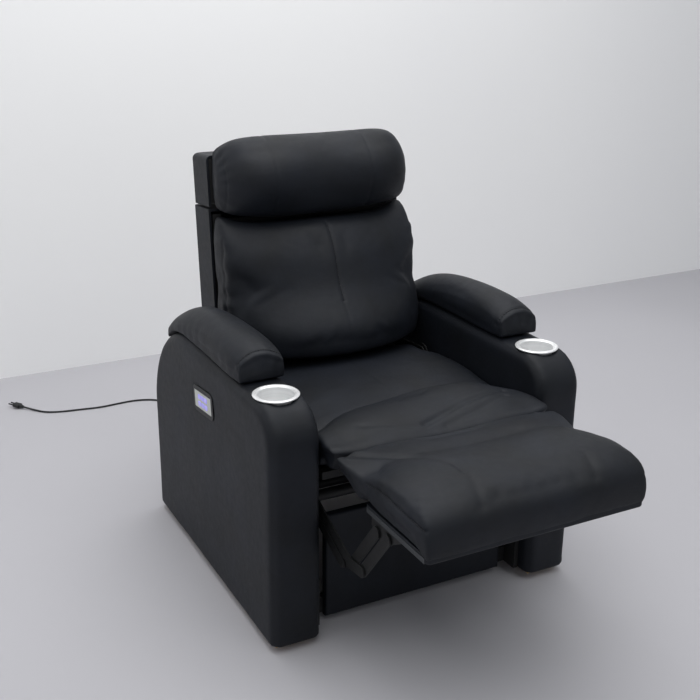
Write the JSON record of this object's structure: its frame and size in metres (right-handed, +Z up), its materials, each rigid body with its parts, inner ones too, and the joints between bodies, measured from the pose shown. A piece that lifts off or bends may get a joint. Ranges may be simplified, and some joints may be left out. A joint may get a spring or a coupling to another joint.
{
  "type": "powered recliner seat",
  "caption": "Powered cinema recliner seat with a linkage footrest, reclining back, tilting headrest, cup holders and a switch panel in the arm.",
  "frame": {"origin": "Floor level, half-way across the seat and half-way from the footrest's far edge to the back.", "axes": "X across the seat, to the viewer's right when its front is looked at; Y from the footrest to the back; Z up."},
  "size_m": [1.0444, 2.0785, 1.0385],
  "materials": {
    "black_leather": "satin",
    "padded_leather": "satin",
    "plywood": "matte",
    "stained_plywood": "matte",
    "black_steel": "satin",
    "cup_steel": "satin",
    "black_plastic": "matte",
    "pale_plastic": "gloss",
    "button_plastic": "gloss",
    "cord_rubber": "matte"
  },
  "bodies": {
    "base": {"arm_cover_left": "black_leather", "arm_cover_right": "black_leather", "arm_frame_left": "plywood", "arm_frame_right": "plywood", "arm_pad_left": "padded_leather", "arm_pad_right": "padded_leather", "cup_holder_left": "cup_steel", "cup_holder_right": "cup_steel", "mechanism_bolts": "black_steel", "control_bezel": "black_plastic", "control_face": "pale_plastic", "base_rails": "stained_plywood", "front_panel": "black_leather", "rear_panel": "black_leather", "glides": "black_plastic", "side_plates": "black_steel", "mount_tubes": "black_steel", "seat_frame": "stained_plywood", "seat_springs": "black_steel", "seat_cushion": "padded_leather", "front_pad": "padded_leather", "lift_motor": "black_plastic", "back_motor": "black_plastic", "power_supply": "black_plastic", "cord_gland": "cord_rubber", "mains_cord": "cord_rubber", "mains_plug": "black_plastic", "back_pivot_bolts": "black_steel"},
    "drive": {"drive_tube": "black_steel", "drive_links": "black_steel", "drive_rivets": "black_steel"},
    "guide": {"guide_links": "black_steel", "guide_rivets": "black_steel"},
    "lift": {"lift_links": "black_steel"},
    "outer": {"outer_links": "black_steel"},
    "footrest": {"footrest_brackets": "black_steel", "bracket_rivets": "black_steel", "footrest_board": "black_leather", "footrest_cushion": "padded_leather", "calf_pad": "padded_leather"},
    "lift_actuator_rod": {"lift_rod": "black_steel"},
    "back": {"back_frame": "stained_plywood", "back_springs": "black_steel", "back_hinge_brackets": "black_steel", "back_shell": "black_leather", "back_cushion": "padded_leather", "headrest_hinges": "black_steel", "headrest_motor": "black_plastic"},
    "back_actuator_rod": {"back_rod": "black_steel"},
    "headrest": {"headrest_shell": "black_leather", "headrest_frame": "stained_plywood", "headrest_bolster": "padded_leather", "headrest_pins": "black_steel"},
    "headrest_actuator_rod": {"headrest_rod": "black_steel"},
    "switch_footrest_out": {"button_footrest_out": "button_plastic"},
    "switch_footrest_in": {"button_footrest_in": "button_plastic"},
    "switch_back_down": {"button_back_down": "button_plastic"},
    "switch_back_up": {"button_back_up": "button_plastic"},
    "switch_head_out": {"button_head_out": "button_plastic"},
    "switch_head_in": {"button_head_in": "button_plastic"}
  },
  "joints": [
    {"name": "footrest_lift", "type": "hinge", "parent": "base", "child": "drive", "pos_m": [0, -0.119, 0.323], "axis": [1, 0, 0], "range_deg": [0, 90]},
    {"name": "guide_link_turn", "type": "hinge", "parent": "base", "child": "guide", "pos_m": [0, -0.07755, 0.30547], "axis": [1, 0, 0], "range_deg": [0, 90]},
    {"name": "lift_link_turn", "type": "hinge", "parent": "drive", "child": "lift", "pos_m": [0, -0.299, 0.25], "axis": [1, 0, 0], "range_deg": [-90, 0]},
    {"name": "outer_link_turn", "type": "hinge", "parent": "drive", "child": "outer", "pos_m": [0, -0.34366, 0.25556], "axis": [1, 0, 0], "range_deg": [-90, 0]},
    {"name": "footrest_turn", "type": "hinge", "parent": "lift", "child": "footrest", "pos_m": [0, -0.394, 0.372], "axis": [1, 0, 0], "range_deg": [0, 90]},
    {"name": "lift_rod_slide", "type": "slide", "parent": "base", "child": "lift_actuator_rod", "axis": [0, -1, 0], "range_m": [0, 0.064]},
    {"name": "back_recline", "type": "hinge", "parent": "base", "child": "back", "pos_m": [0, 0.296, 0.44], "axis": [-1, 0, 0], "range_deg": [0, 35]},
    {"name": "back_rod_slide", "type": "slide", "parent": "base", "child": "back_actuator_rod", "axis": [0, -1, 0], "range_m": [0, 0.05991]},
    {"name": "headrest_tilt", "type": "hinge", "parent": "back", "child": "headrest", "pos_m": [0, 0.47586, 0.87799], "axis": [1, 0, 0], "range_deg": [0, 20]},
    {"name": "headrest_rod_slide", "type": "slide", "parent": "back", "child": "headrest_actuator_rod", "axis": [0, 0.0872, 0.9962], "range_m": [0, 0.01587]},
    {"name": "press_footrest_out", "type": "slide", "parent": "base", "child": "switch_footrest_out", "axis": [1, 0, 0], "range_m": [0, 0.0012], "stiffness_N_per_m": 500, "springref_m": -0.001},
    {"name": "press_footrest_in", "type": "slide", "parent": "base", "child": "switch_footrest_in", "axis": [1, 0, 0], "range_m": [0, 0.0012], "stiffness_N_per_m": 500, "springref_m": -0.001},
    {"name": "press_back_down", "type": "slide", "parent": "base", "child": "switch_back_down", "axis": [1, 0, 0], "range_m": [0, 0.0012], "stiffness_N_per_m": 500, "springref_m": -0.001},
    {"name": "press_back_up", "type": "slide", "parent": "base", "child": "switch_back_up", "axis": [1, 0, 0], "range_m": [0, 0.0012], "stiffness_N_per_m": 500, "springref_m": -0.001},
    {"name": "press_head_out", "type": "slide", "parent": "base", "child": "switch_head_out", "axis": [1, 0, 0], "range_m": [0, 0.0012], "stiffness_N_per_m": 500, "springref_m": -0.001},
    {"name": "press_head_in", "type": "slide", "parent": "base", "child": "switch_head_in", "axis": [1, 0, 0], "range_m": [0, 0.0012], "stiffness_N_per_m": 500, "springref_m": -0.001}
  ],
  "couplings": [
    {"joint": "guide_link_turn", "follows": "footrest_lift", "ratio": 1},
    {"joint": "lift_link_turn", "follows": "footrest_lift", "ratio": -1},
    {"joint": "outer_link_turn", "follows": "footrest_lift", "ratio": -1},
    {"joint": "footrest_turn", "follows": "footrest_lift", "ratio": 1},
    {"joint": "lift_rod_slide", "follows": "footrest_lift", "m_per_rad": 0.040744},
    {"joint": "back_rod_slide", "follows": "back_recline", "m_per_rad": 0.098069},
    {"joint": "headrest_rod_slide", "follows": "headrest_tilt", "m_per_rad": 0.045463}
  ]
}
